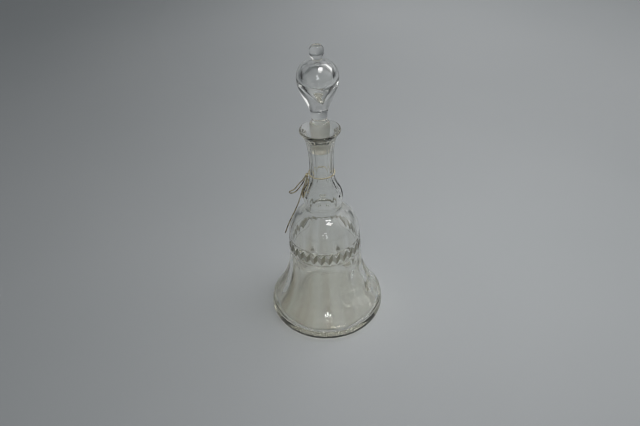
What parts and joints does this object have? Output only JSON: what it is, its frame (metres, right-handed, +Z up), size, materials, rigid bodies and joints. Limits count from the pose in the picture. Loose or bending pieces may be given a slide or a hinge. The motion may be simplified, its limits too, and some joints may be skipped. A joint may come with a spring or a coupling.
{
  "type": "bell-shaped glass decanter",
  "caption": "Bell-shaped clear glass decanter with fluted skirt and neck, an engraved band, a ground stopper with an air drop, and twine tied round the neck.",
  "frame": {"origin": "centre of the foot, on the surface it stands on", "axes": "+Z up along the decanter's axis; the front of the pictured view faces -Y, with +X to its right"},
  "size_m": [0.12, 0.12, 0.3017],
  "materials": {
    "glass": "clear, polished, with a matt engraved band",
    "stopper_glass": "clear, polished, with a ground plug",
    "twine": "twisted natural twine"
  },
  "bodies": {
    "decanter": {"decanter": "glass", "string_loop": "twine", "string_knot": "twine", "string_long_tail": "twine", "string_left_bow": "twine", "string_front_bow": "twine"},
    "stopper": {"stopper": "stopper_glass"}
  },
  "joints": [
    {"name": "stopper_lift", "type": "slide", "parent": "decanter", "child": "stopper", "axis": [0, 0, 1], "range_m": [0, 0.045]}
  ]
}
